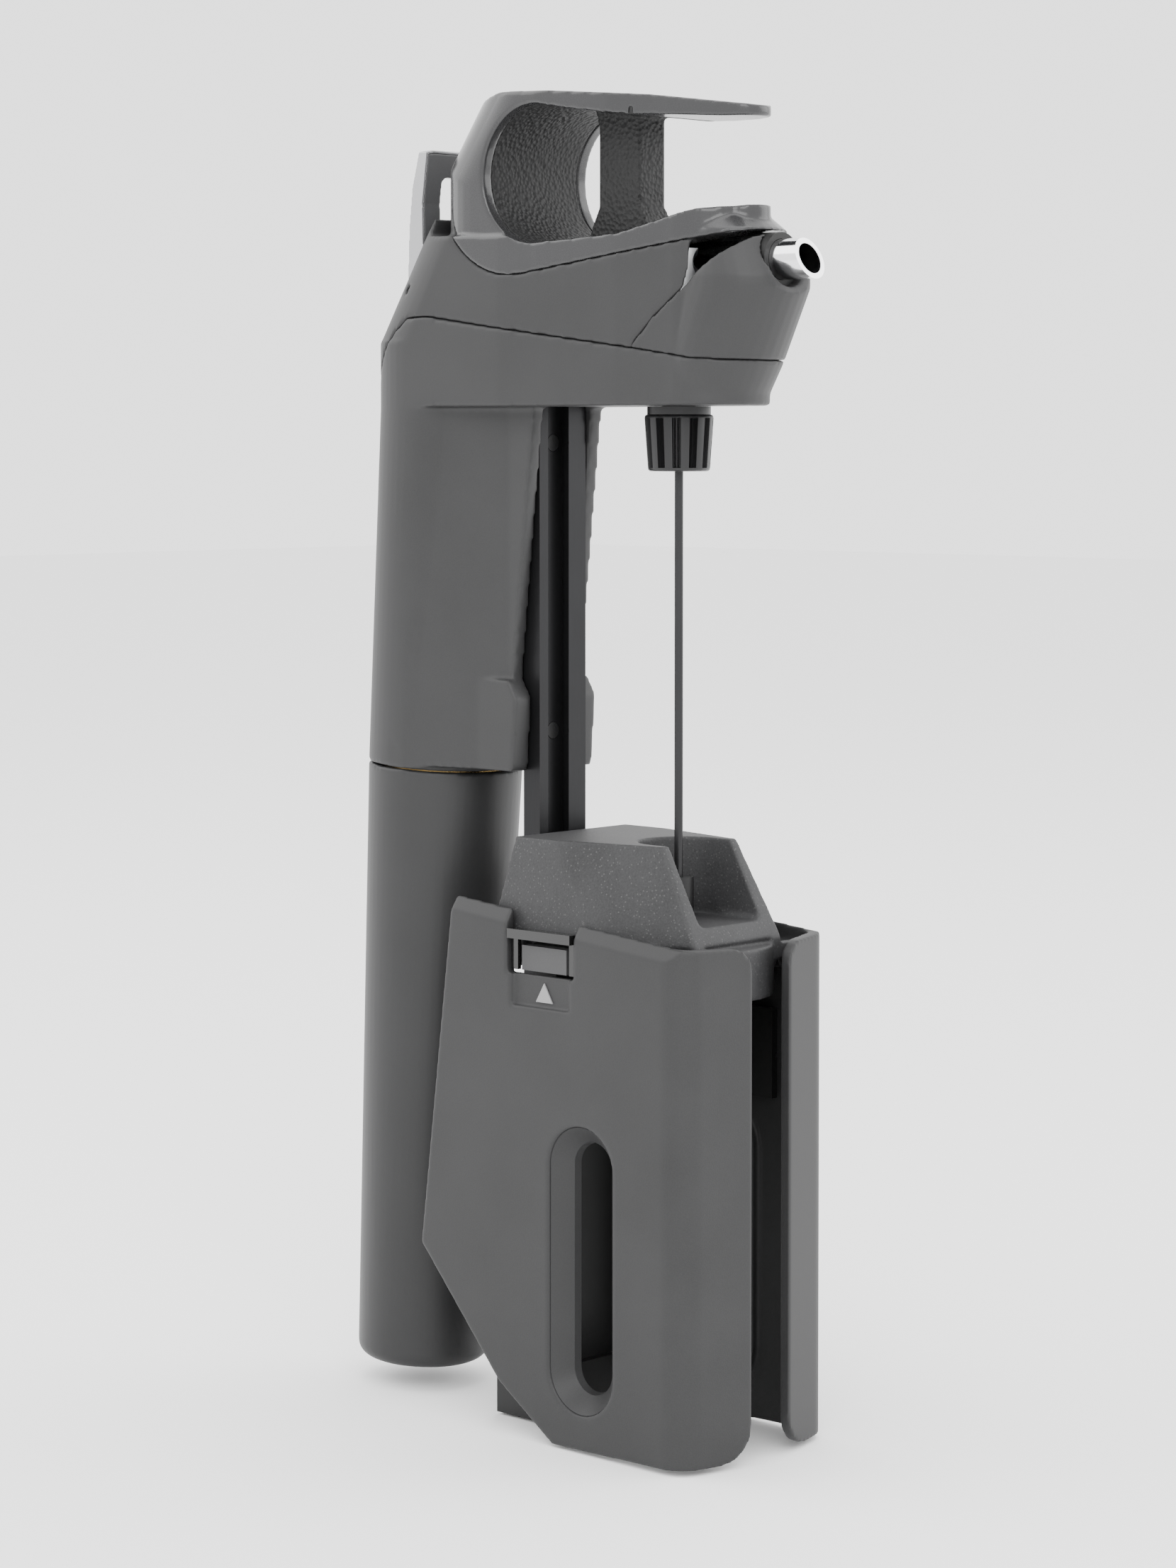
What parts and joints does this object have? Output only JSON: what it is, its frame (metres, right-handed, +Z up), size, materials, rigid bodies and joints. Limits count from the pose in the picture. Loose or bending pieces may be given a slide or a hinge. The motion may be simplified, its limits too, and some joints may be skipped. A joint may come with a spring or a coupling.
{
  "type": "argon wine pourer",
  "caption": "Hand tool that pushes a hollow needle through a cork, pours through a spout and lets argon in with a trigger; a sprung clamp grips the bottle's neck.",
  "frame": {"origin": "centre of the bottle-mouth seat, the ceiling of the clamp's socket, on the needle's axis", "axes": "+Z up along the needle, -Y towards the spout, X across; the handle is raised"},
  "size_m": [0.0396, 0.1076, 0.2378],
  "materials": {
    "housing": "soft matte charcoal plastic with a fine grain",
    "cup_shell": "soft matte charcoal plastic",
    "bezel": "satin to glossy dark grey plastic",
    "liner": "soft rubber with a leather-like pebble grain",
    "rail_black": "drawn aluminium rail, satin black anodised",
    "steel": "plain steel",
    "spring_steel": "drawn spring wire",
    "brass_fitting": "turned brass",
    "alloy": "turned aluminium",
    "copper_tube": "thin drawn metal tube",
    "spout_polish": "polished steel tube",
    "seal": "black rubber",
    "trigger_body": "mid grey satin plastic",
    "trigger_silver": "pale silver satin paint",
    "needle_black": "satin black plastic",
    "needle_coat": "steel needle with a dark slippery coat",
    "capsule_steel": "drawn steel gas capsule",
    "clamp_matte": "matte charcoal plastic with a fine speckled grain",
    "jaw_matte": "soft matte charcoal plastic with a fine grain",
    "spine_black": "black glass-filled plastic",
    "tab_black": "glossy black plastic",
    "latch_grey": "mid grey plastic",
    "arrow_grey": "pale grey printed inlay"
  },
  "bodies": {
    "clamp": {"clamp_head": "clamp_matte", "backbone": "spine_black", "foot_block": "spine_black", "needle_guide": "spine_black", "bottle_seat": "seal", "clamp_screws": "steel", "hinge_pins_left": "steel", "hinge_pins_right": "steel", "jaw_spring_left": "spring_steel", "jaw_spring_right": "spring_steel", "latch_block_left": "latch_grey", "latch_block_right": "latch_grey"},
    "handle": {"lower_housing": "housing", "upper_housing": "housing", "nose_cover": "housing", "grip": "bezel", "grip_liner": "liner", "rail": "rail_black", "rail_screws": "steel", "housing_screws": "steel", "threaded_neck": "brass_fitting", "regulator_body": "alloy", "regulator_spring": "spring_steel", "piercing_pin": "steel", "capsule_seal": "seal", "valve_body": "brass_fitting", "valve_spring": "spring_steel", "gas_tube": "copper_tube", "manifold": "alloy", "spout": "spout_polish", "spout_seal": "seal", "trigger_pin": "steel"},
    "regulator_piston": {"regulator_piston": "steel"},
    "trigger": {"trigger_frame": "trigger_body", "trigger_cover": "trigger_silver"},
    "valve_stem": {"valve_stem": "steel"},
    "needle_unit": {"needle_hub": "needle_black", "needle_grip": "needle_black", "needle": "needle_coat", "needle_seal": "seal"},
    "capsule": {"gas_capsule": "capsule_steel"},
    "cup": {"capsule_cup": "cup_shell", "cup_thread_ring": "brass_fitting"},
    "jaw_left": {"jaw_left": "jaw_matte", "neck_pad_left": "seal", "arrow_left": "arrow_grey"},
    "jaw_right": {"jaw_right": "jaw_matte", "neck_pad_right": "seal", "arrow_right": "arrow_grey"},
    "tab_left": {"release_tab_left": "tab_black"},
    "tab_right": {"release_tab_right": "tab_black"}
  },
  "joints": [
    {"name": "handle_slide", "type": "slide", "parent": "clamp", "child": "handle", "axis": [0, 0, -1], "range_m": [0, 0.07]},
    {"name": "trigger_press", "type": "hinge", "parent": "handle", "child": "trigger", "pos_m": [0, 0.0555, 0.1135], "axis": [1, 0, 0], "range_deg": [0, 8], "stiffness_Nm_per_rad": 0.9},
    {"name": "valve_stem_slide", "type": "slide", "parent": "handle", "child": "valve_stem", "axis": [0, 0, -1], "range_m": [0, 0.0013], "deforming": ["valve_spring"]},
    {"name": "regulator_piston_slide", "type": "slide", "parent": "handle", "child": "regulator_piston", "axis": [0, -0.0558, 0.9984], "range_m": [0, 0.001], "stiffness_N_per_m": 1500, "deforming": ["regulator_spring"]},
    {"name": "needle_turn", "type": "hinge", "parent": "handle", "child": "needle_unit", "pos_m": [0, 0, 0.0895], "axis": [0, 0, 1], "range_deg": [0, 60]},
    {"name": "capsule_slide", "type": "slide", "parent": "handle", "child": "capsule", "axis": [0, 0.0558, -0.9984], "range_m": [0, 0.0046]},
    {"name": "cup_turn", "type": "hinge", "parent": "capsule", "child": "cup", "pos_m": [0, 0.0545, 0.096], "axis": [0, 0.0558, -0.9984], "range_deg": [0, 1080]},
    {"name": "jaw_left_hinge", "type": "hinge", "parent": "clamp", "child": "jaw_left", "pos_m": [-0.0153, 0, -0.001], "axis": [0, 1, 0], "range_deg": [-3, 6], "stiffness_Nm_per_rad": 0.6},
    {"name": "jaw_right_hinge", "type": "hinge", "parent": "clamp", "child": "jaw_right", "pos_m": [0.0153, 0, -0.001], "axis": [0, -1, 0], "range_deg": [-3, 6], "stiffness_Nm_per_rad": 0.6},
    {"name": "release_tab_left_slide", "type": "slide", "parent": "jaw_left", "child": "tab_left", "axis": [0, 0, 1], "range_m": [0, 0.002], "stiffness_N_per_m": 300},
    {"name": "release_tab_right_slide", "type": "slide", "parent": "jaw_right", "child": "tab_right", "axis": [0, 0, 1], "range_m": [0, 0.002], "stiffness_N_per_m": 300}
  ],
  "couplings": [
    {"joint": "valve_stem_slide", "follows": "trigger_press", "m_per_rad": 0.0086},
    {"joint": "capsule_slide", "follows": "cup_turn", "m_per_rad": 0.00023873}
  ]
}
